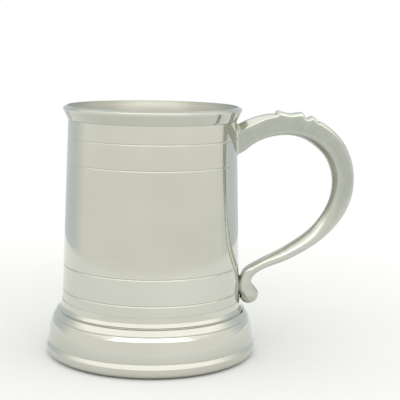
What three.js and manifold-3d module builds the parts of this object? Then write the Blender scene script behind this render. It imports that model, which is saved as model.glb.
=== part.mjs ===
// A pewter pint tankard: a tapered drum on a spread foot, with a cast loop handle and thumb rest.
// Millimetres, +Z up. The origin is on the table, in the middle of the outline seen from above,
// and the handle points along +X.
import * as THREE from 'three';
import { mergeVertices } from 'three/addons/utils/BufferGeometryUtils.js';
import Module from 'manifold-3d';

const wasm = await Module();
wasm.setup();

// ---------------------------------------------------------------- driving dimensions

const height = 122; // table to the top of the lip
const footRadius = 51.8; // widest point of the foot's bottom bead
const handleReach = 99.4; // drum axis to the back of the handle

// The drum is a cone frustum whose radius falls steadily with height.
const drumRadiusAtTable = 44.8;
const drumTaper = 0.034;
const drumWall = 1.4;
const drumBottom = 10.4; // the drum's lower edge, hidden inside the foot
const lipRoot = 115.3; // where the drum turns out into the lip
const lipRadius = 43.4;
const lineHeights = [32.7, 45, 95, 106.9]; // incised lines round the drum
const lineWidth = 0.9;
const lineDepth = 0.3;

const floorHeight = 12; // underside of the vessel's floor
const floorThickness = 1.4;
const floorCrown = 1.2; // how much higher the floor stands in its middle

const neckTop = 27.5; // feather edge of the foot against the drum
const neckBead = 45.7; // radius of the bead below that edge
const footWall = 1.4; // at the shoulder
const footMeet = 21; // where the foot's inside runs out against the drum
const footSolderTop = 19.6; // the solder in the corner below that

const handleWidth = 9.6; // side to side at the top of the handle
const tailWidth = 8; // side to side at its lower end
const narrowFrom = 100; // the width falls from this height
const narrowTo = 40; // down to this one
const handleEdge = 2.2; // bevel between the flat sides and the spine
const castWall = 2; // wall of the hollow casting
const heelRadius = 4.8;

const fit = 0.1; // clearance between pieces that are soldered together
const solderFilm = 0.3; // thickness of solder under the handle's seats
const filletSize = 0.8; // how far the solder stands round those seats
const upperSeat = [96, 115]; // heights that the solder of each seat lies between
const lowerSeat = [31, 44];

const roundSteps = 64; // facets round a turned piece
const curveSteps = 3; // facets along each curve of an outline
const handleSteps = 52; // facets along the handle, four to each span of its line

const axisX = (footRadius - handleReach) / 2; // centres the outline on the origin

const drumRadius = (z) => drumRadiusAtTable - drumTaper * z;

// The handle's middle line, seen from the side, from the upper joint round to the tail.
// Each point is its distance from the drum axis, its height, and half the handle's depth there.
const handleLine = new THREE.CatmullRomCurve3(
  [
    [37.6, 102.3, 6.2],
    [46.4, 109.2, 6.0],
    [56.3, 113.0, 5.6],
    [68.4, 113.3, 5.0],
    [80.1, 109.6, 5.6],
    [89.9, 100.2, 5.55],
    [94.0, 86.9, 5.35],
    [91.5, 73.1, 5.1],
    [82.0, 60.3, 4.25],
    [68.0, 50.5, 3.6],
    [54.6, 44.0, 3.0],
    [47.7, 39.4, 3.4],
    [46.2, 33.3, 3.8],
    [46.0, 28.0, 2.6],
  ].map(([reach, z, halfDepth]) => new THREE.Vector3(reach, z, halfDepth)),
  false,
  'catmullrom',
  0.5,
);
const coreEnd = 8 / 13; // share of the line that is cast hollow, from the upper joint
const heelCentre = new THREE.Vector3(48.7, 0, 28.6);

// ---------------------------------------------------------------- shape helpers

/** Turn a (radius, height) outline about the upright axis. */
function turned(outline) {
  const geometry = new THREE.LatheGeometry(outline, roundSteps);
  geometry.rotateX(Math.PI / 2);
  return geometry;
}

/** Close a list of (radius, height) pairs into a ring's section. */
function section(pairs) {
  const points = pairs.map(([r, z]) => new THREE.Vector2(r, z));
  points.push(points[0].clone());
  return points;
}

/** Extrude a side-view shape to a width centred on the handle's middle plane, with bevelled edges. */
function slab(shape, width, edge) {
  const depth = width - 2 * edge;
  const geometry = new THREE.ExtrudeGeometry(shape, {
    depth,
    bevelEnabled: edge > 0,
    bevelThickness: edge,
    bevelSize: edge,
    bevelOffset: -edge,
    bevelSegments: 1,
    curveSegments: curveSteps,
  });
  geometry.translate(0, 0, -depth / 2);
  geometry.rotateX(Math.PI / 2);
  return geometry;
}

/** Narrow a handle piece evenly from its full width at the top to the tail's width. */
function tapered(geometry) {
  const places = geometry.attributes.position;
  for (let i = 0; i < places.count; i++) {
    const rise = THREE.MathUtils.smoothstep(places.getZ(i), narrowTo, narrowFrom);
    places.setY(i, places.getY(i) * THREE.MathUtils.lerp(tailWidth / handleWidth, 1, rise));
  }
  return geometry;
}

/** Make a solid that can be cut and joined from a closed geometry. */
function solid(geometry) {
  const bare = geometry.clone();
  bare.deleteAttribute('normal');
  bare.deleteAttribute('uv');
  const merged = mergeVertices(bare);
  const corners = merged.index.array;
  const triVerts = [];
  for (let i = 0; i < corners.length; i += 3) {
    const [a, b, c] = corners.slice(i, i + 3);
    if (a !== b && b !== c && c !== a) {
      triVerts.push(a, b, c);
    }
  }
  return new wasm.Manifold(
    new wasm.Mesh({
      numProp: 3,
      vertProperties: merged.attributes.position.array,
      triVerts: Uint32Array.from(triVerts),
    }),
  );
}

/** Turn a cut or joined solid back into a geometry. */
function surface(manifold) {
  const mesh = manifold.getMesh();
  const geometry = new THREE.BufferGeometry();
  geometry.setAttribute('position', new THREE.BufferAttribute(mesh.vertProperties, 3));
  geometry.setIndex(new THREE.BufferAttribute(mesh.triVerts, 1));
  geometry.computeVertexNormals();
  return geometry;
}

/** Everything inside the drum's outer face, moved out by the given gap. */
function drumCore(gap) {
  const low = -height;
  const high = 2 * height;
  return solid(
    turned([
      new THREE.Vector2(0, low),
      new THREE.Vector2(drumRadius(low) + gap, low),
      new THREE.Vector2(drumRadius(high) + gap, high),
      new THREE.Vector2(0, high),
    ]),
  );
}

// ---------------------------------------------------------------- the vessel

/** Drum: a spun wall with four incised lines, its mouth turned out into a rounded lip. */
function bodyDrum() {
  const foot = drumRadius(drumBottom);
  const root = drumRadius(lipRoot);
  const outline = new THREE.Path();
  outline.moveTo(foot - drumWall, drumBottom);
  outline.lineTo(foot, drumBottom);
  for (const z of lineHeights) {
    outline.lineTo(drumRadius(z), z - lineWidth / 2);
    outline.lineTo(drumRadius(z) - lineDepth, z);
    outline.lineTo(drumRadius(z), z + lineWidth / 2);
  }
  outline.lineTo(root, lipRoot);
  outline.lineTo(lipRadius - 0.35, height - 2.7);
  outline.lineTo(lipRadius, height - 1.7);
  outline.quadraticCurveTo(lipRadius, height, lipRadius - 1.4, height);
  outline.quadraticCurveTo(lipRadius - 1.9, height, lipRadius - 2.1, height - 0.8);
  outline.quadraticCurveTo(root - drumWall + 0.3, lipRoot + 1.2, root - drumWall, lipRoot - 1.5);
  outline.closePath();
  return turned(outline.getPoints(curveSteps));
}

/** Floor: a slightly crowned disc let into the bottom of the drum. */
function vesselFloor() {
  const edge = drumRadius(floorHeight) - drumWall - fit;
  return turned([
    new THREE.Vector2(0, floorHeight + floorCrown),
    new THREE.Vector2(edge * 0.5, floorHeight + floorCrown * 0.75),
    new THREE.Vector2(edge, floorHeight),
    new THREE.Vector2(edge, floorHeight + floorThickness),
    new THREE.Vector2(edge * 0.5, floorHeight + floorThickness + floorCrown * 0.75),
    new THREE.Vector2(0, floorHeight + floorThickness + floorCrown),
  ]);
}

/** Foot: a hollow spread skirt with a bottom bead, a domed shoulder, a neck bead and a cove. */
function footSkirt() {
  const neck = drumRadius(neckTop) + fit;
  const meet = drumRadius(footMeet) + fit;
  const outline = new THREE.Path();
  outline.moveTo(footRadius - 6.2, 0);
  outline.lineTo(footRadius - 4.6, 0);
  outline.quadraticCurveTo(footRadius - 0.4, 0.5, footRadius, 3.9);
  outline.lineTo(footRadius - 0.2, 5.4);
  outline.lineTo(footRadius - 1.2, 7.4);
  outline.lineTo(footRadius - 1.15, 8.5);
  outline.quadraticCurveTo(footRadius - 1.6, 14.4, footRadius - 2.5, 17.2);
  outline.lineTo(footRadius - 3.5, 19.1);
  outline.lineTo(footRadius - 3.5, 19.5);
  outline.lineTo(neckBead + 0.5, 22.1);
  outline.lineTo(neckBead - 0.4, 22.5);
  outline.lineTo(neckBead - 0.2, 23.3);
  outline.lineTo(neckBead - 0.95, 24.9);
  outline.quadraticCurveTo(neck + 0.3, 25.7, neck + fit, neckTop);
  outline.lineTo(neck, neckTop);
  outline.lineTo(meet, footMeet);
  outline.quadraticCurveTo(footRadius - 3.2, 15.4, footRadius - 1.15 - footWall, 8.5);
  outline.lineTo(footRadius - 1.5 - footWall, 4);
  outline.closePath();
  return turned(outline.getPoints(curveSteps));
}

/** Solder round the drum, in the corner under the foot's neck. */
function footSolder() {
  const face = drumRadius(footSolderTop) + fit;
  return turned(
    section([
      [face, footSolderTop - 2],
      [face + 1.2, footSolderTop - 1.8],
      [face + 0.2, footSolderTop],
      [face, footSolderTop],
    ]),
  );
}

/** Solder under the vessel's floor, in the corner with the drum's wall. */
function floorSolder() {
  const size = 1.4;
  const top = floorHeight - fit;
  const face = drumRadius(top) - drumWall - fit;
  return turned(
    section([
      [face, top - size],
      [face, top],
      [face - size, top],
    ]),
  );
}

// ---------------------------------------------------------------- the handle

/** Side view of the handle along part of its line, with both faces moved in by the inset. */
function handleSide(end, inset) {
  const back = [];
  const front = [];
  for (let i = 0; i <= handleSteps; i++) {
    const share = (end * i) / handleSteps;
    const place = handleLine.getPoint(share);
    const along = handleLine.getTangent(share);
    const across = new THREE.Vector2(-along.y, along.x).setLength(place.z - inset);
    back.push(new THREE.Vector2(place.x + across.x, place.y + across.y));
    front.unshift(new THREE.Vector2(place.x - across.x, place.y - across.y));
  }
  return new THREE.Shape([...back, ...front]);
}

/** Rounded heel that the tail ends in. */
function heelBall(radius) {
  const geometry = new THREE.SphereGeometry(radius, 24, 16);
  geometry.scale(1, 0.9, 1);
  geometry.translate(heelCentre.x, heelCentre.y, heelCentre.z);
  return geometry;
}

/** Thumb rest: a rolled leaf and a smaller one behind it, cast on top of the bend. */
function thumbRest() {
  const side = new THREE.Shape();
  side.moveTo(59.4, 113);
  side.lineTo(60, 118.9);
  side.quadraticCurveTo(60.2, 120.6, 61.6, 120.2);
  side.quadraticCurveTo(66.8, 118.9, 73, 119.4);
  side.quadraticCurveTo(74.2, 117.8, 75.3, 117);
  side.lineTo(78.4, 117.5);
  side.quadraticCurveTo(79.9, 116.4, 80.7, 115);
  side.lineTo(79, 111);
  return slab(side, handleWidth - 2, 0.8);
}

/** The handle's bent bar, grown evenly by a margin, before it is seated on the drum. */
function handleBar(margin) {
  return solid(tapered(slab(handleSide(1, -margin), handleWidth + 2 * margin, handleEdge)));
}

/** Room for the foot's neck and bead, which the heel stands just clear of. */
function neckRoom() {
  const gap = 3 * fit;
  const base = footMeet - 3;
  const beadTop = neckTop - 2.8;
  return solid(
    turned([
      new THREE.Vector2(0, base),
      new THREE.Vector2(neckBead + 0.4 + gap, base),
      new THREE.Vector2(neckBead + 0.2 + gap, beadTop),
      new THREE.Vector2(drumRadius(neckTop) + 3 * gap, neckTop + gap),
      new THREE.Vector2(0, neckTop + gap),
    ]),
  );
}

/** Handle: one slush casting, hollow from its upper seat down to the lower arm. */
function handleCasting() {
  const core = slab(handleSide(coreEnd, castWall), handleWidth - 2 * castWall, 0);
  const casting = handleBar(0)
    .add(solid(heelBall(heelRadius)))
    .add(solid(thumbRest()))
    .subtract(solid(tapered(core)))
    .subtract(drumCore(fit + solderFilm + fit))
    .subtract(neckRoom());
  return surface(casting);
}

/** Solder between the drum and one seat of the handle, and in a fillet round that seat. */
function seatSolder(low, high) {
  const belt = solid(
    turned(
      section([
        [drumRadius(low) + fit, low],
        [drumRadius(low) + filletSize, low],
        [drumRadius(high) + filletSize, high],
        [drumRadius(high) + fit, high],
      ]),
    ),
  );
  const seated = handleBar(fit)
    .add(solid(heelBall(heelRadius + fit)))
    .subtract(drumCore(fit + solderFilm));
  return surface(handleBar(filletSize).intersect(belt).subtract(seated));
}

// ---------------------------------------------------------------- assembly

const polishedPewter = new THREE.MeshStandardMaterial({ color: 0xcbccc4, roughness: 0.1, metalness: 1 });
const castPewter = new THREE.MeshStandardMaterial({ color: 0xb9bcb4, roughness: 0.3, metalness: 1 });
const innerPewter = new THREE.MeshStandardMaterial({ color: 0xbcbdb4, roughness: 0.35, metalness: 1 });
const solderMetal = new THREE.MeshStandardMaterial({ color: 0xc4c5bf, roughness: 0.4, metalness: 1 });

const tankard = new THREE.Group();
tankard.position.x = axisX;

function place(name, geometry, material) {
  const mesh = new THREE.Mesh(geometry, material);
  mesh.name = name;
  tankard.add(mesh);
}

place('body_drum', bodyDrum(), polishedPewter);
place('vessel_floor', vesselFloor(), innerPewter);
place('foot_skirt', footSkirt(), polishedPewter);
place('foot_solder_seam', footSolder(), solderMetal);
place('floor_solder_seam', floorSolder(), solderMetal);
place('handle_casting', handleCasting(), castPewter);
place('upper_handle_solder', seatSolder(...upperSeat), solderMetal);
place('lower_handle_solder', seatSolder(...lowerSeat), solderMetal);

export default tankard;
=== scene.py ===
# The look of a pewter tankard: polished turned drum and foot, and a satin cast handle, on a pale table.
# Metres, +Z up, in the CAD model's frame. Outlines are written in millimetres from the drum's axis.
import math

import bmesh
import bpy
from mathutils import Matrix, Vector


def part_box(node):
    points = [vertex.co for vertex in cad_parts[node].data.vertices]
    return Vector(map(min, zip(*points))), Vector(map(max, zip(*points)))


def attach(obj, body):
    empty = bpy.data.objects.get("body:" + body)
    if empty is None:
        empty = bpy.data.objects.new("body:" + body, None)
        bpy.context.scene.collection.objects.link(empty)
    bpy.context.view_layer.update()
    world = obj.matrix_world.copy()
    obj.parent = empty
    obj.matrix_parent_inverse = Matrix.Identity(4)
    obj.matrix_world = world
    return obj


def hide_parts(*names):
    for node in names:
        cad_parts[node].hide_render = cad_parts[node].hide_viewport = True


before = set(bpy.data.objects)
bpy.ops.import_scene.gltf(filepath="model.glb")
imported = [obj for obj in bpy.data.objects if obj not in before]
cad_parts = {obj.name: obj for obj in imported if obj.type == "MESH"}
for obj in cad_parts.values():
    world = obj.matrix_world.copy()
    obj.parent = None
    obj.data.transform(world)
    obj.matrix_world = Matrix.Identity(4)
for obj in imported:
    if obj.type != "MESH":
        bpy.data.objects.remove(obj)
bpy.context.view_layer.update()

# ---------------------------------------------------------------- driving dimensions

MM = 0.001
AROUND = 288  # steps round a turned piece
FIT = 0.05  # clearance between neighbouring pieces
EDGE = 0.2  # width of the narrow band beside a crease, which keeps the shading of the wide faces true

drum_low, drum_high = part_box("body_drum")
foot_low, foot_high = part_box("foot_skirt")
floor_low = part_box("vessel_floor")[0]

AXIS_X = (drum_low.x + drum_high.x) / 2
HEIGHT = drum_high.z / MM
DRUM_BOTTOM = drum_low.z / MM
FOOT_RADIUS = (foot_high.x - foot_low.x) / 2 / MM
NECK_TOP = foot_high.z / MM
FLOOR_BOTTOM = floor_low.z / MM

DRUM_RADIUS_AT_TABLE = 44.8
DRUM_TAPER = 0.034
DRUM_WALL = 1.4
LIP_ROOT = 115.3
LIP_RADIUS = 43.4
LINE_HEIGHTS = (32.45, 44.8, 94.7, 106.6)
LINE_WIDTH = 0.9
LINE_DEPTH = 0.28
FLOOR_THICKNESS = 1.4
NECK_BEAD = 45.7
FOOT_WALL = 1.4
FOOT_MEET = 21.0  # where the foot's inside runs out against the drum
FOOT_SEAM_TOP = 19.0
FOOT_SEAM = (1.1, 2.2)  # how far the solder reaches across the ledge above it and down the wall
FLOOR_SEAM = (-1.4, 1.4)
UPPER_SEAT = (96.0, 115.0)  # heights between which the handle is soldered to the drum
LOWER_SEAT = (28.6, 44.0)
SOLDER_FILM = 0.2
SOLDER_SQUEEZE = 0.35  # how far it stands out round the handle's seats
SOLDER_HEIGHT = 0.5  # and how far it climbs from the drum up their sides
WELD = 0.01  # points closer than this become one after a cut
CUT_SHARP_DEGREES = 35

LOOP_MIDDLE = (64.0, 0.0, 80.0)  # of the space for the fingers
SEAT_ROUNDING = 0.86  # half depth left at the very end, which rounds off the seat's lower corner
HANDLE_WIDTH = 9.6
TAIL_WIDTH = 8.0
HEEL_RADIUS = 4.8
HEEL_WIDTH = 0.92  # as a share of the heel's diameter
# Middle line of the handle from the upper joint to the heel: distance from the axis, height, half depth.
HANDLE_LINE = [
    (37.5, 102.4, 6.4),
    (46.4, 109.2, 6.0),
    (56.3, 113.0, 5.6),
    (68.4, 113.3, 5.0),
    (80.2, 109.75, 5.75),
    (90.0, 100.3, 5.7),
    (94.0, 86.9, 5.35),
    (91.55, 73.05, 5.0),
    (82.13, 60.12, 4.05),
    (68.1, 50.3, 3.4),
    (54.6, 43.85, 2.6),
    (48.4, 39.45, 2.8),
    (46.75, 34.2, 3.2),
    (48.7, 28.6, HEEL_RADIUS),
]


def drum_radius(z):
    """Outer radius of the drum at a height."""
    return DRUM_RADIUS_AT_TABLE - DRUM_TAPER * z


def smooth(low, high, x):
    """0 below low, 1 above high, and an even S between them."""
    t = min(max((x - low) / (high - low), 0.0), 1.0)
    return t * t * (3 - 2 * t)


def blend(a, b, share):
    """The value a given share of the way from a to b."""
    return a + (b - a) * share


# ---------------------------------------------------------------- outlines


def bend(start, pull, end, steps=10):
    """Points of a quadratic curve from start to end, without the start itself."""
    points = []
    for i in range(1, steps + 1):
        t = i / steps
        points.append(
            tuple((1 - t) ** 2 * a + 2 * t * (1 - t) * b + t * t * c for a, b, c in zip(start, pull, end))
        )
    return points


def incised_line(z):
    """A rounded groove cut into the drum's wall, with a narrow band of plain wall on each side."""
    steps = 14
    points = []
    for i in range(-1, steps + 2):
        share = i / steps
        height = z + (share - 0.5) * LINE_WIDTH
        depth = LINE_DEPTH * math.sin(math.pi * min(max(share, 0), 1)) ** 2
        points.append((drum_radius(height) - depth, height))
    return points


def drum_outline():
    """The drum's wall from its hidden lower edge up the outside, over the lip and down the inside."""
    foot = drum_radius(DRUM_BOTTOM)
    root = drum_radius(LIP_ROOT)
    flare = (LIP_RADIUS - 0.22, HEIGHT - 2.05)
    brim = (LIP_RADIUS, HEIGHT - 1.6)
    edge = (LIP_RADIUS - 0.25, HEIGHT - 0.85)
    crown = (LIP_RADIUS - 1.9, HEIGHT)
    inside = (LIP_RADIUS - 2.25, HEIGHT - 0.6)
    throat = (root - DRUM_WALL + 0.08, LIP_ROOT + 1.2)
    shoulder = (root - DRUM_WALL, LIP_ROOT - 1.5)
    outline = [(foot - DRUM_WALL, DRUM_BOTTOM + EDGE), (foot - DRUM_WALL, DRUM_BOTTOM), (foot, DRUM_BOTTOM)]
    outline.append((drum_radius(DRUM_BOTTOM + EDGE), DRUM_BOTTOM + EDGE))
    for z in LINE_HEIGHTS:
        outline += incised_line(z)
    outline += [(drum_radius(LIP_ROOT - EDGE), LIP_ROOT - EDGE), (root, LIP_ROOT)]
    outline += bend((root, LIP_ROOT), (root + 0.1, LIP_ROOT + 0.15), (root + 0.4, LIP_ROOT + 0.6), 4)
    outline.append(flare)
    outline += bend(flare, (LIP_RADIUS, HEIGHT - 1.75), brim, 6)
    outline += bend(brim, (LIP_RADIUS, HEIGHT - 1.05), edge, 8)
    outline += bend(edge, (LIP_RADIUS - 1.2, HEIGHT - 0.3), crown, 8)
    outline += bend(crown, (LIP_RADIUS - 2.15, HEIGHT), inside, 8)
    outline += bend(inside, (LIP_RADIUS - 2.35, HEIGHT - 0.9), (LIP_RADIUS - 2.45, HEIGHT - 1.2), 3)
    outline.append(throat)
    outline += bend(throat, (root - DRUM_WALL + 0.02, LIP_ROOT + 0.7), shoulder, 8)
    outline.append((shoulder[0] + DRUM_TAPER * EDGE, shoulder[1] - EDGE))
    return outline


def foot_outline():
    """The foot from its contact ring up the outside to the neck, and down the hollow inside."""
    neck = drum_radius(NECK_TOP) + FIT
    root = drum_radius(FOOT_MEET) + FIT
    ring = (FOOT_RADIUS - 4.6, 0.0)
    bead = (FOOT_RADIUS, 3.9)
    roll = (FOOT_RADIUS - 0.08, 5.3)
    chamfer = (FOOT_RADIUS - 1.22, 6.85)
    crease = (FOOT_RADIUS - 1.32, 7.15)
    dome = (FOOT_RADIUS - 1.15, 8.5)
    corner = (FOOT_RADIUS - 2.5, 17.2)
    ledge = (FOOT_RADIUS - 3.5, 19.05)
    slope = (FOOT_RADIUS - 3.5, 19.5)
    groove = (NECK_BEAD - 0.5, 22.45)
    top_bead = (NECK_BEAD - 0.15, 23.0)
    collar = (neck + 0.45, 24.5)
    outline = [(FOOT_RADIUS - 6.2, 0.0), ring]
    outline += bend(ring, (FOOT_RADIUS - 0.2, 0.35), bead, 14)
    outline += bend(bead, (FOOT_RADIUS, 4.6), (FOOT_RADIUS, 5.0), 5)
    outline += bend((FOOT_RADIUS, 5.0), (FOOT_RADIUS, 5.18), roll, 6)
    outline += bend(roll, (FOOT_RADIUS - 0.65, 6.08), chamfer, 6)
    outline += bend(chamfer, (FOOT_RADIUS - 1.34, 7.0), crease, 4)
    outline += bend(crease, (FOOT_RADIUS - 1.26, 7.7), dome, 4)
    outline += bend(dome, (FOOT_RADIUS - 1.6, 14.4), corner, 14)
    outline += bend(corner, (FOOT_RADIUS - 2.92, 18.1), ledge)
    outline += bend(ledge, (FOOT_RADIUS - 3.6, 19.3), slope, 4)
    outline += bend(slope, (NECK_BEAD + 1.0, 21.7), (NECK_BEAD + 0.55, 22.05))
    outline += bend((NECK_BEAD + 0.55, 22.05), (NECK_BEAD - 0.45, 22.1), groove, 6)
    outline += bend(groove, (NECK_BEAD - 0.5, 22.85), top_bead, 6)
    outline += bend(top_bead, (neck + 0.75, 24.05), collar)
    outline += bend(collar, (neck + 0.3, 25.6), (neck + 0.1, NECK_TOP), 5)
    outline += [(neck, NECK_TOP), (root, FOOT_MEET)]
    outline += bend((root, FOOT_MEET), (FOOT_RADIUS - 3.2, 15.4), (FOOT_RADIUS - 1.15 - FOOT_WALL, 8.5))
    outline.append((FOOT_RADIUS - 1.5 - FOOT_WALL, 4.0))
    return outline


def floor_outline():
    """The vessel's floor, from its middle underneath, out to the wall and back over the top."""
    edge = drum_radius(FLOOR_BOTTOM) - DRUM_WALL - FIT
    crown = 1.2
    steps = 8
    under = [(edge * i / steps, FLOOR_BOTTOM + crown * (1 - (i / steps) ** 2)) for i in range(steps + 1)]
    over = [(r, z + FLOOR_THICKNESS) for r, z in reversed(under)]
    return under + over


def fillet_outline(corner, across, down):
    """A hollow-faced solder fillet in the corner under a ledge, reaching across it and down the wall."""
    fullness = 0.15  # 0 for the hollowest face
    r, z = corner
    tip = (r + across, z)
    return [corner, tip] + bend(tip, (r + across * fullness, z - down * fullness), (r, z - down), 6)


# ---------------------------------------------------------------- mesh helpers


def finish_mesh(build, name, sharp_degrees=40):
    """Turn a bmesh into a smooth-shaded object in the scene."""
    bmesh.ops.recalc_face_normals(build, faces=build.faces)
    mesh = bpy.data.meshes.new(name)
    build.to_mesh(mesh)
    build.free()
    mesh.shade_smooth()
    mesh.set_sharp_from_angle(angle=math.radians(sharp_degrees))
    piece = bpy.data.objects.new(name, mesh)
    bpy.context.scene.collection.objects.link(piece)
    return piece


def join_rings(build, rings, closed):
    """Skin a list of rings of vertices; a ring of one vertex is a pole."""
    pairs = list(zip(rings, rings[1:]))
    if closed:
        pairs.append((rings[-1], rings[0]))
    for near, far in pairs:
        for i in range(max(len(near), len(far))):
            j = i + 1
            corners = [near[i % len(near)], near[j % len(near)], far[j % len(far)], far[i % len(far)]]
            build.faces.new(list(dict.fromkeys(corners)))


def turned(name, outline, closed=True):
    """Turn an outline of (radius, height) about the drum's axis."""
    build = bmesh.new()
    rings = []
    for r, z in outline:
        if r == 0:
            rings.append([build.verts.new((AXIS_X, 0, z * MM))])
            continue
        ring = []
        reach = r * MM
        for i in range(AROUND):
            angle = 2 * math.pi * i / AROUND
            place = (AXIS_X + reach * math.cos(angle), reach * math.sin(angle), z * MM)
            ring.append(build.verts.new(place))
        rings.append(ring)
    join_rings(build, rings, closed)
    return finish_mesh(build, name)


# ---------------------------------------------------------------- the handle


# The thumb rest's top: distance from the axis, rise above the handle's spine.
REST_TOP = [
    (60.5, 0.0),
    (61.1, 1.2),
    (66.6, 0.55),
    (72.6, 1.8),
    (74.9, -0.6),
    (78.0, 1.1),
    (79.4, 0.6),
    (80.5, -0.8),
    (82.0, 0.0),
]
SCROLL_PLACE = (61.5, 118.7)
SCROLL_RADIUS = 1.6
SCROLL_WIDTH = 7.4
REST_FLANK = (1.7, 0.3)  # depth below the spine at which the thumb rest's sloping sides start and end

# Where the handle's section changes: the start and end of each change, as shares of its middle line.
AT_SEAT = (0.0, 0.04)
OUTER_BEVEL_ENDS = (0.1, 0.2)
INNER_BEVEL_GROWS = (0.15, 0.4)
AT_LOWER_ARM = (0.42, 0.57)
INNER_BEVEL_SPREADS = (0.5, 0.65)
INNER_BEVEL_SETTLES = (0.67, 0.78)
AT_TAIL = (0.78, 0.85)
INNER_BEVEL_ENDS = (0.8, 0.87)
AT_HEEL = (0.93, 1.0)
# How crisp its edges are at the seat and on the arch, lower arm, tail and heel; see section.
SEAT_CRISPNESS, ARCH_CRISPNESS, ARM_CRISPNESS, TAIL_CRISPNESS, HEEL_CRISPNESS = 18, 8, 4, 9, 2.4


def line_point(share):
    """Place on the handle's middle line: its point and direction in the side view, and its half depth."""
    spans = len(HANDLE_LINE) - 1
    first, last = Vector(HANDLE_LINE[0]), Vector(HANDLE_LINE[-1])
    points = [2 * first - Vector(HANDLE_LINE[1])] + [Vector(p) for p in HANDLE_LINE]
    points.append(2 * last - Vector(HANDLE_LINE[-2]))
    span = min(int(share * spans), spans - 1)
    t = share * spans - span
    before, start, end, after = points[span:span + 4]
    leave, arrive = (end - before) / 2, (after - start) / 2
    cubic = 2 * start - 2 * end + leave + arrive
    square = -3 * start + 3 * end - 2 * leave - arrive
    place = cubic * t ** 3 + square * t ** 2 + leave * t + start
    along = cubic * 3 * t ** 2 + square * 2 * t + leave
    return place, Vector((along.x, along.y)).normalized()


def section(half_depth, half_width, outer, inner, lean, crispness):
    """Points (depth, width) round a bar, rounder when less crisp.

    The outer bevel is cut at 45 degrees. The inner one starts at a depth of inner from the inner edge,
    and leans in from the flat side by lean radians.
    """
    outer_reach = (half_depth + half_width - outer) / math.sqrt(2)
    inner_reach = half_width * math.cos(lean) + (half_depth - inner) * math.sin(lean)
    faces = [(0.0, half_depth), (math.pi, half_depth)]
    for side in (-1, 1):
        faces.append((side * math.pi / 4, outer_reach))
        faces.append((side * math.pi / 2, half_width))
        faces.append((side * (math.pi / 2 + lean), inner_reach))

    def radius(angle):
        total = sum((max(0.0, math.cos(angle - towards)) / reach) ** crispness for towards, reach in faces)
        return total ** (-1 / crispness)

    outwards, inwards = half_depth / radius(0), half_depth / radius(math.pi)
    sideways = half_width / radius(math.pi / 2)
    steps = 72
    points = []
    for i in range(steps):
        angle = 2 * math.pi * i / steps
        depth, width = radius(angle) * math.cos(angle), radius(angle) * math.sin(angle)
        points.append((depth * (outwards if depth > 0 else inwards), width * sideways))
    return points


def rest_rise(x):
    """How far the thumb rest stands above the handle's spine at a distance from the drum's axis."""
    for (start, low), (end, high) in zip(REST_TOP, REST_TOP[1:]):
        if start <= x <= end:
            return blend(low, high, smooth(start, end, x))
    return 0.0


def handle_rings(grow=0.0):
    """Rings of points along the handle, in millimetres from the drum's axis, down to the heel's pole."""
    steps = 460
    cap_steps = 14
    rings = []
    for i in range(steps + 1):
        share = i / steps
        place, along = line_point(share)
        place.z *= blend(SEAT_ROUNDING, 1, smooth(*AT_SEAT, share))
        lower = smooth(*AT_LOWER_ARM, share)
        heel = smooth(*AT_HEEL, share)
        half_width = blend(blend(HANDLE_WIDTH / 2, TAIL_WIDTH / 2, lower), HEEL_RADIUS * HEEL_WIDTH, heel)
        half_width += grow
        crispness = blend(SEAT_CRISPNESS, ARCH_CRISPNESS, smooth(*INNER_BEVEL_GROWS, share))
        crispness = blend(crispness, ARM_CRISPNESS, lower)
        crispness = blend(crispness, TAIL_CRISPNESS, smooth(*AT_TAIL, share))
        crispness = blend(crispness, HEEL_CRISPNESS, heel)
        # Depths of the bevels. The inner one passes the middle of the bar on the lower arm.
        outer = blend(3.0, 1.0, smooth(*OUTER_BEVEL_ENDS, share))
        inner = blend(1.2, 3.6, smooth(*INNER_BEVEL_GROWS, share))
        inner = blend(inner, 1.2 * place.z, smooth(*INNER_BEVEL_SPREADS, share))
        inner = blend(inner, place.z, smooth(*INNER_BEVEL_SETTLES, share))
        inner = blend(inner, 0.4, smooth(*INNER_BEVEL_ENDS, share))
        lean = math.radians(blend(blend(45, 36, lower), 45, heel))
        ring = []
        for depth, width in section(place.z + grow, half_width, outer, inner, lean, crispness):
            x = place.x - along.y * depth
            z = place.y + along.x * depth
            if share < 0.5:
                z += rest_rise(x) * smooth(place.z - REST_FLANK[0], place.z - REST_FLANK[1], depth)
            ring.append((x, width, z))
        rings.append(ring)
    place, along = line_point(1)
    middle = Vector((place.x, 0, place.y))
    for i in range(1, cap_steps):
        turn = math.pi / 2 * i / cap_steps
        reach = HEEL_RADIUS * math.sin(turn)
        centre = Vector((place.x + along.x * reach, 0, place.y + along.y * reach))
        rings.append([tuple(centre + (Vector(p) - middle) * math.cos(turn)) for p in rings[steps]])
    rings.append([(place.x + along.x * HEEL_RADIUS, 0, place.y + along.y * HEEL_RADIUS)])
    return rings


def handle_blank(grow=0.0):
    """The handle before it is seated on the drum, its upper end running on into the vessel."""
    build = bmesh.new()
    rings = []
    for ring in handle_rings(grow):
        rings.append([build.verts.new((AXIS_X + x * MM, y * MM, z * MM)) for x, y, z in ring])
    join_rings(build, rings, closed=False)
    build.faces.new(rings[0])
    return finish_mesh(build, "handle_blank", 30)


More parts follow.
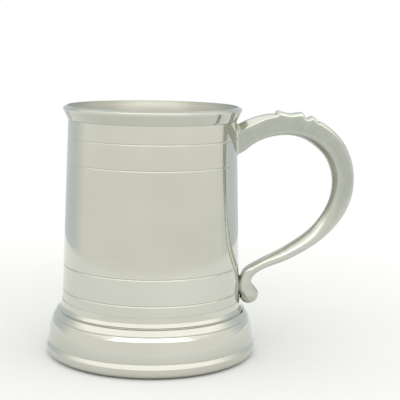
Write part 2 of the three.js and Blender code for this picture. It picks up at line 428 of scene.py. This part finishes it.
def scroll_roll():
    """The rolled front edge of the thumb rest: a short bar with rounded ends lying across the spine."""
    half_length = SCROLL_WIDTH / 2
    end_rounding = 0.8
    steps = 32
    middle_x, middle_z = SCROLL_PLACE
    build = bmesh.new()
    rings = [[build.verts.new((AXIS_X + middle_x * MM, -half_length * MM, middle_z * MM))]]
    turns = (0.5, 1.0, math.pi / 2)
    stations = [(-half_length + end_rounding * (1 - math.cos(a)), math.sin(a)) for a in turns]
    stations += [(-y, size) for y, size in reversed(stations)]
    for y, size in stations:
        ring = []
        for i in range(steps):
            angle = 2 * math.pi * i / steps
            x = middle_x + SCROLL_RADIUS * size * math.cos(angle)
            z = middle_z + SCROLL_RADIUS * size * math.sin(angle)
            ring.append(build.verts.new((AXIS_X + x * MM, y * MM, z * MM)))
        rings.append(ring)
    rings.append([build.verts.new((AXIS_X + middle_x * MM, half_length * MM, middle_z * MM))])
    join_rings(build, rings, closed=False)
    return finish_mesh(build, "scroll_roll")


def drum_cutter(gap):
    """Everything inside the drum's outer face, and a gap beyond it."""
    low, high = -20.0, 140.0  # well past both ends of the tankard
    outline = [(0, low), (drum_radius(low) + gap, low), (drum_radius(high) + gap, high), (0, high)]
    return turned("drum_cutter", outline, closed=False)


def solder_shell(low, high):
    """A thin sleeve round the drum between two heights, which holds all the solder of a joint."""
    near, far = FIT, FIT + SOLDER_HEIGHT
    corners = ((low, near), (low, far), (high, far), (high, near))
    outline = [(drum_radius(z) + reach, z) for z, reach in corners]
    return turned("solder_shell", outline)


def combine(piece, tool, operation):
    """Cut piece by tool, or join tool to it, and remove the tool."""
    step = piece.modifiers.new("combine", "BOOLEAN")
    step.operation = operation
    step.solver = "EXACT"
    step.object = tool
    bpy.context.view_layer.update()
    view = bpy.context.evaluated_depsgraph_get()
    mesh = bpy.data.meshes.new_from_object(piece.evaluated_get(view))
    piece.modifiers.clear()
    piece.data = mesh
    bpy.data.objects.remove(tool)


def clean_cut(piece, name):
    """Name a cut piece, weld the slivers that its cuts left, and shade it smooth between its edges."""
    build = bmesh.new()
    build.from_mesh(piece.data)
    bmesh.ops.remove_doubles(build, verts=build.verts, dist=WELD * MM)
    bmesh.ops.dissolve_degenerate(build, edges=build.edges, dist=WELD * MM)
    spare = [vert for vert in build.verts if len(vert.link_edges) == 2]
    bmesh.ops.dissolve_verts(build, verts=spare)
    many_sided = [face for face in build.faces if len(face.verts) > 4]
    bmesh.ops.triangulate(build, faces=many_sided)
    build.to_mesh(piece.data)
    build.free()
    piece.name = name
    piece.data.shade_smooth()
    piece.data.set_sharp_from_angle(angle=math.radians(CUT_SHARP_DEGREES))


def handle_piece():
    """The finished handle: one casting with its thumb rest, seated on the drum's wall."""
    piece = handle_blank()
    combine(piece, scroll_roll(), "UNION")
    combine(piece, drum_cutter(2 * FIT + SOLDER_FILM), "DIFFERENCE")
    clean_cut(piece, "handle")
    return piece


def seat_solder(name, low, high):
    """The film of solder between the drum and the handle, standing out in a fillet round the joint."""
    piece = handle_blank(SOLDER_SQUEEZE)
    combine(piece, solder_shell(low, high), "INTERSECT")
    seated = handle_blank(FIT)
    combine(seated, drum_cutter(FIT + SOLDER_FILM), "DIFFERENCE")
    combine(piece, seated, "DIFFERENCE")
    clean_cut(piece, name)
    return piece


# ---------------------------------------------------------------- materials

BRIGHT_DARK = (0.585, 0.59, 0.525)
BRIGHT_LIGHT = (0.63, 0.63, 0.565)
# Painted shade: the inside of the vessel is painted darker than the outside.
INSIDE_SHADE_COLOUR = (0.52, 0.515, 0.46)
FLOOR_DARK = (0.47, 0.48, 0.43)
CAST_BRIGHT = ((0.545, 0.55, 0.495), (0.585, 0.585, 0.53))
# Darker cast colours: patinated metal with painted shade, on the handle's upper side flats and inside its
# loop.
CAST_PATINA_AND_SHADE = ((0.42, 0.45, 0.4), (0.47, 0.49, 0.44))
# Solder colours, lighter than the pewter: partly the solder's own tone, partly painted light that lifts the
# shade in the joints.
SOLDER_DARK = (0.68, 0.69, 0.61)
SOLDER_LIGHT = (0.78, 0.78, 0.71)
# Colour of the darkened belts: tarnish and painted shade.
TARNISH_AND_SHADE = (0.2, 0.21, 0.16)
# Darkened belts, some tarnish with painted shade in creases and some painted shade alone: lowest and
# highest height, width of the fading edges (mm), and strength.
# Incised lines: tarnish in the grooves, with painted shade.
DRUM_TARNISH_AND_SHADE = [(z, z, 0.45, 0.07) for z in LINE_HEIGHTS]
# Lip's root: tarnish and painted shade in the crease. The flare above it: a band of painted shade that dims
# its reflection.
DRUM_TARNISH_AND_SHADE += [(LIP_ROOT, LIP_ROOT, 0.45, 0.45), (LIP_ROOT + 0.6, HEIGHT - 2.6, 0.5, 0.2)]
# Lip's crown: painted shade that dims its highlight.
DRUM_TARNISH_AND_SHADE += [(HEIGHT - 0.8, HEIGHT, 0.2, 0.25)]
# Inner face of the rim: painted shade that dims its reflection.
RIM_SHADE = (HEIGHT - 1.1, HEIGHT, 2.4, 0.25)
# Foot's crease, ledge and groove: tarnish and painted shade in the hollows.
FOOT_TARNISH_AND_SHADE = [(7.15, 7.15, 0.4, 0.2), (19.35, 19.45, 0.35, 0.5), (22.4, 22.5, 0.5, 0.3)]


class Nodes:
    """A material's node tree, with short calls to add and link nodes."""

    def __init__(self, name):
        self.material = bpy.data.materials.new(name)
        self.material.use_nodes = True
        self.tree = self.material.node_tree
        self.tree.nodes.clear()
        self.shader = self.add("ShaderNodeBsdfPrincipled")
        output = self.add("ShaderNodeOutputMaterial")
        self.link(self.shader.outputs[0], output.inputs["Surface"])

    def add(self, kind, **settings):
        node = self.tree.nodes.new(kind)
        for key, value in settings.items():
            setattr(node, key, value)
        return node

    def link(self, source, target):
        self.tree.links.new(source, target)

    def place(self, scale=(1, 1, 1)):
        """Coordinates from the drum's axis at table height, in metres, stretched by scale."""
        where = self.add("ShaderNodeTexCoord")
        mapping = self.add("ShaderNodeMapping")
        mapping.inputs["Location"].default_value = [-AXIS_X * scale[0], 0, 0]
        mapping.inputs["Scale"].default_value = scale
        self.link(where.outputs["Object"], mapping.inputs["Vector"])
        return mapping.outputs["Vector"]

    def noise(self, where, scale, detail):
        """A noise value, about 0.3 to 0.7."""
        node = self.add("ShaderNodeTexNoise")
        node.inputs["Scale"].default_value = scale
        node.inputs["Detail"].default_value = detail
        node.inputs["Roughness"].default_value = 0.55
        self.link(where, node.inputs["Vector"])
        return node.outputs["Fac"]

    def spread(self, value, low, high, start=0.3, end=0.7):
        """Map a value from start..end to low..high; noise fills the usual start and end."""
        node = self.add("ShaderNodeMapRange")
        node.inputs["From Min"].default_value = start
        node.inputs["From Max"].default_value = end
        node.inputs["To Min"].default_value = low
        node.inputs["To Max"].default_value = high
        self.link(value, node.inputs["Value"])
        return node.outputs["Result"]

    def math(self, operation, one, other=None):
        """The result of an operation on one or two numbers or outputs."""
        node = self.add("ShaderNodeMath", operation=operation)
        for socket, value in zip(node.inputs, (one, other)):
            if isinstance(value, (int, float)):
                socket.default_value = value
            elif value is not None:
                self.link(value, socket)
        return node.outputs[0]

    def parts(self, vector):
        """The X, Y and Z of a vector."""
        node = self.add("ShaderNodeSeparateXYZ")
        self.link(vector, node.inputs[0])
        return node.outputs

    def squared_reach(self):
        """The squared distance from the drum's axis."""
        where = self.parts(self.place())
        return self.math("ADD", self.math("POWER", where[0], 2), self.math("POWER", where[1], 2))

    def normal(self):
        return self.add("ShaderNodeTexCoord").outputs["Normal"]

    def mix(self, share, one, other):
        """A colour from one to the other, each a colour or another node's output."""
        node = self.add("ShaderNodeMix", data_type="RGBA")
        sockets = [i for i in node.inputs if i.type == "RGBA"]
        for socket, colour in zip(sockets, (one, other)):
            if isinstance(colour, tuple):
                socket.default_value = (*colour, 1)
            else:
                self.link(colour, socket)
        self.link(share, node.inputs[0])
        return [o for o in node.outputs if o.type == "RGBA"][0]

    def belts(self, belts):
        """The strength of the strongest belt at each height; see DRUM_TARNISH_AND_SHADE for what a belt is."""
        z = self.parts(self.place())[2]
        total = 0.0
        for low, high, fade, strength in belts:
            off = self.math("ABSOLUTE", self.math("SUBTRACT", z, (low + high) / 2 * MM))
            half = (high - low) / 2
            share = self.spread(off, strength, 0, half * MM, (half + fade) * MM)
            total = self.math("MAXIMUM", share, total)
        return total

    def outward(self, middle, axes):
        """How far a face looks away from a middle: its normal times its place, along some axes (metres)."""
        where = self.parts(self.place())
        facing = self.parts(self.normal())
        total = 0.0
        for i in axes:
            away = self.math("SUBTRACT", where[i], middle[i] * MM)
            total = self.math("ADD", self.math("MULTIPLY", away, facing[i]), total)
        return total

    def bump(self, height, distance):
        """A normal that follows a height value, over a distance in millimetres."""
        node = self.add("ShaderNodeBump")
        node.inputs["Distance"].default_value = distance * MM
        self.link(height, node.inputs["Height"])
        return node.outputs["Normal"]

    def colour(self, colour):
        self.link(colour, self.shader.inputs["Base Color"])

    def roughness(self, roughness):
        self.link(roughness, self.shader.inputs["Roughness"])

    def surface(self, normal):
        self.link(normal, self.shader.inputs["Normal"])


def metal(name):
    """The nodes of a new metallic material."""
    nodes = Nodes(name)
    nodes.shader.inputs["Metallic"].default_value = 1.0
    return nodes


def turned_pewter(name, tarnish_and_shade_belts):
    """Polished pewter with clouds, wiping marks and turning lines; duller inside, where it is also painted
    darker as painted shade; and darkened belts, tarnished creases with painted shade and bands of painted
    shade alone.
    """
    nodes = metal(name)
    clouds = nodes.noise(nodes.place(), scale=28, detail=5)
    colour = nodes.mix(nodes.spread(clouds, 0, 1), BRIGHT_DARK, BRIGHT_LIGHT)
    inside = nodes.spread(nodes.outward((0, 0, 0), (0, 1)), 1, 0, -12 * MM, -2 * MM)
    # Painted shade inside the vessel.
    colour = nodes.mix(inside, colour, INSIDE_SHADE_COLOUR)
    # Painted shade on the inner face of the rim.
    rim = nodes.math("MULTIPLY", inside, nodes.belts([RIM_SHADE]))
    nodes.colour(nodes.mix(nodes.math("MAXIMUM", nodes.belts(tarnish_and_shade_belts), rim), colour, TARNISH_AND_SHADE))
    wiping = nodes.spread(nodes.noise(nodes.place((1, 1, 6)), scale=60, detail=3), 0.06, 0.11)
    nodes.roughness(nodes.math("ADD", wiping, nodes.math("MULTIPLY", inside, 0.28)))
    lines = nodes.noise(nodes.place((0.02, 0.02, 1)), scale=2600, detail=2)
    nodes.surface(nodes.bump(lines, 0.002))
    return nodes.material


def floor_pewter(name):
    """The duller floor of the vessel, with the fine rings left by turning."""
    ring_spacing = 0.9
    nodes = metal(name)
    clouds = nodes.noise(nodes.place(), scale=40, detail=5)
    # Clouds between two darker colours; the lighter one is the inside's painted-shade colour.
    nodes.colour(nodes.mix(nodes.spread(clouds, 0, 1), FLOOR_DARK, INSIDE_SHADE_COLOUR))
    wiping = nodes.noise(nodes.place(), scale=70, detail=3)
    nodes.roughness(nodes.spread(wiping, 0.2, 0.32))
    radius = nodes.math("POWER", nodes.squared_reach(), 0.5)
    rings = nodes.math("SINE", nodes.math("MULTIPLY", radius, 2 * math.pi / (ring_spacing * MM)))
    nodes.surface(nodes.bump(rings, 0.004))
    return nodes.material


def cast_pewter(name):
    """Satin cast pewter with a fine mottled skin, and darker colours on its upper side flats and on the
    faces turned into the loop: partly patinated metal, partly painted shade.
    """
    nodes = metal(name)
    mottle = nodes.spread(nodes.noise(nodes.place(), scale=300, detail=4), 0, 1)
    # Painted shade with some patina: side flats high on the handle, and faces turned into the loop, take
    # the darker colours.
    flat = nodes.spread(nodes.math("ABSOLUTE", nodes.parts(nodes.normal())[1]), 0, 1, 0.8, 0.97)
    high = nodes.spread(nodes.parts(nodes.place())[2], 0, 1, 55 * MM, 80 * MM)
    inward = nodes.spread(nodes.outward(LOOP_MIDDLE, (0, 2)), 0.5, 0, -14 * MM, -3 * MM)
    patina_and_shade = nodes.math("MAXIMUM", nodes.math("MULTIPLY", flat, high), inward)
    nodes.colour(nodes.mix(patina_and_shade, nodes.mix(mottle, *CAST_BRIGHT), nodes.mix(mottle, *CAST_PATINA_AND_SHADE)))
    wear = nodes.noise(nodes.place(), scale=90, detail=3)
    nodes.roughness(nodes.spread(wear, 0.17, 0.24))
    skin = nodes.noise(nodes.place(), scale=700, detail=3)
    nodes.surface(nodes.bump(skin, 0.008))
    return nodes.material


def solder_metal(name):
    """Solder, a little brighter than the pewter (partly its own tone, partly painted light that lifts the
    shade in the joints), with a slightly lumpy surface.
    """
    nodes = metal(name)
    lumps = nodes.noise(nodes.place(), scale=500, detail=2)
    nodes.colour(nodes.mix(nodes.spread(lumps, 0, 1), SOLDER_DARK, SOLDER_LIGHT))
    nodes.shader.inputs["Roughness"].default_value = 0.45
    nodes.surface(nodes.bump(lumps, 0.1))
    return nodes.material


def table_paint(name):
    """Pale matt table, very faintly uneven, with painted shade round the tankard: darker near it and
    lighter away from it.
    """
    nodes = Nodes(name)
    grain = nodes.noise(nodes.place(), scale=6, detail=3)
    middle = nodes.mix(nodes.spread(grain, 0, 1), (0.75, 0.75, 0.75), (0.77, 0.77, 0.77))
    # Painted shade: darker round the tankard, fading to the lighter outer colour away from it.
    away = nodes.spread(nodes.squared_reach(), 0, 1, 0.01, 0.1)
    nodes.colour(nodes.mix(away, middle, (0.82, 0.82, 0.82)))
    nodes.shader.inputs["Roughness"].default_value = 0.9
    nodes.shader.inputs["Specular IOR Level"].default_value = 0.1
    return nodes.material


# ---------------------------------------------------------------- camera, light and table


def add_camera():
    """The camera looks slightly down and to the right from in front, with a small roll."""
    lens, distance, height = 94.6, 0.5119, 0.1546
    yaw, pitch, roll = 2.64, 8.75, 0.96
    data = bpy.data.cameras.new("camera")
    data.lens = lens
    data.sensor_width = 36
    data.clip_start = 0.01
    camera = bpy.data.objects.new("camera", data)
    turn = Matrix.Rotation(math.radians(-yaw), 4, "Z") @ Matrix.Rotation(math.radians(90 - pitch), 4, "X")
    lean = Matrix.Rotation(math.radians(roll), 4, "Z")
    camera.matrix_world = Matrix.Translation((AXIS_X, -distance, height)) @ turn @ lean
    bpy.context.scene.collection.objects.link(camera)
    bpy.context.scene.camera = camera


def add_window(name, place, size, power):
    """A rectangular area light in front of the tankard, aimed at its foot."""
    data = bpy.data.lights.new(name, "AREA")
    data.shape = "RECTANGLE"
    data.size, data.size_y = size
    data.energy = power
    data.color = (1, 1, 0.98)
    light = bpy.data.objects.new(name, data)
    light.location = place
    towards = Vector((AXIS_X, 0, 0.02)) - Vector(place)
    light.rotation_euler = towards.to_track_quat("-Z", "Y").to_euler()
    bpy.context.scene.collection.objects.link(light)


def add_room():
    """Soft surroundings: a warm white front, cooler and darker sides and back, and a bright ceiling."""
    world = bpy.data.worlds.new("room")
    world.use_nodes = True
    tree = world.node_tree
    tree.nodes.clear()
    links = tree.links

    def ramp(value, low, high):
        node = tree.nodes.new("ShaderNodeMapRange")
        node.interpolation_type = "SMOOTHSTEP"
        node.inputs["From Min"].default_value = low
        node.inputs["From Max"].default_value = high
        links.new(value, node.inputs["Value"])
        return node.outputs["Result"]

    def mix(share, one, other):
        node = tree.nodes.new("ShaderNodeMix")
        node.data_type = "RGBA"
        links.new(share, node.inputs[0])
        for socket, colour in zip([i for i in node.inputs if i.type == "RGBA"], (one, other)):
            if isinstance(colour, tuple):
                socket.default_value = (*colour, 1)
            else:
                links.new(colour, socket)
        return [o for o in node.outputs if o.type == "RGBA"][0]

    where = tree.nodes.new("ShaderNodeTexCoord")
    parts = tree.nodes.new("ShaderNodeSeparateXYZ")
    links.new(where.outputs["Generated"], parts.inputs[0])
    front = ramp(parts.outputs["Y"], 0.62, 0.12)
    above = ramp(parts.outputs["Z"], 0.42, 0.66)
    level = ramp(parts.outputs["Z"], -0.12, 0.02)
    front_wall = mix(level, (0.94, 0.93, 0.9), (1.03, 1.02, 0.98))
    walls = mix(front, (0.7, 0.755, 0.78), front_wall)
    ceiling = mix(front, (0.98, 1.03, 1.04), (1.42, 1.42, 1.38))
    room = mix(above, walls, ceiling)
    path = tree.nodes.new("ShaderNodeLightPath")
    colour = mix(path.outputs["Is Camera Ray"], room, (1.0, 1.0, 1.0))
    background = tree.nodes.new("ShaderNodeBackground")
    links.new(colour, background.inputs["Color"])
    output = tree.nodes.new("ShaderNodeOutputWorld")
    links.new(background.outputs[0], output.inputs["Surface"])
    bpy.context.scene.world = world


def add_table():
    """A plain round table top under the tankard."""
    radius = 0.34
    build = bmesh.new()
    bmesh.ops.create_circle(build, cap_ends=True, segments=128, radius=radius)
    table = finish_mesh(build, "table")
    table.location = (AXIS_X, 0, -0.1 * MM)
    table.data.materials.append(table_paint("table_paint"))


# ---------------------------------------------------------------- pieces


def show(piece, node, material):
    """Give a piece its material, and let it stand for its CAD node."""
    piece.name = node + "_visual"
    piece.data.materials.clear()
    piece.data.materials.append(material)
    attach(piece, "root")
    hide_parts(node)


add_camera()
add_room()
add_window("front_window", place=(AXIS_X, -0.92, 0.8), size=(2.0, 0.2), power=1.7)
add_window("window_edges", place=(AXIS_X, -0.93, 0.81), size=(2.7, 0.22), power=0.8)
add_table()

drum_pewter = turned_pewter("drum_pewter", DRUM_TARNISH_AND_SHADE)
foot_pewter = turned_pewter("foot_pewter", FOOT_TARNISH_AND_SHADE)
inside_pewter = floor_pewter("floor_pewter")
cast = cast_pewter("cast_pewter")
solder = solder_metal("solder")

# Every CAD node is replaced by a finer piece of its own.
show(turned("drum", drum_outline()), "body_drum", drum_pewter)
show(turned("foot", foot_outline()), "foot_skirt", foot_pewter)
show(turned("floor", floor_outline(), closed=False), "vessel_floor", inside_pewter)
show(handle_piece(), "handle_casting", cast)
show(seat_solder("upper", *UPPER_SEAT), "upper_handle_solder", solder)
show(seat_solder("lower", *LOWER_SEAT), "lower_handle_solder", solder)
foot_corner = (drum_radius(FOOT_SEAM_TOP) + FIT, FOOT_SEAM_TOP)
show(turned("foot_seam", fillet_outline(foot_corner, *FOOT_SEAM)), "foot_solder_seam", solder)
floor_corner = (drum_radius(FLOOR_BOTTOM) - DRUM_WALL - FIT, FLOOR_BOTTOM - FIT)
show(turned("floor_seam", fillet_outline(floor_corner, *FLOOR_SEAM)), "floor_solder_seam", solder)

bpy.context.scene.view_settings.view_transform = "Standard"
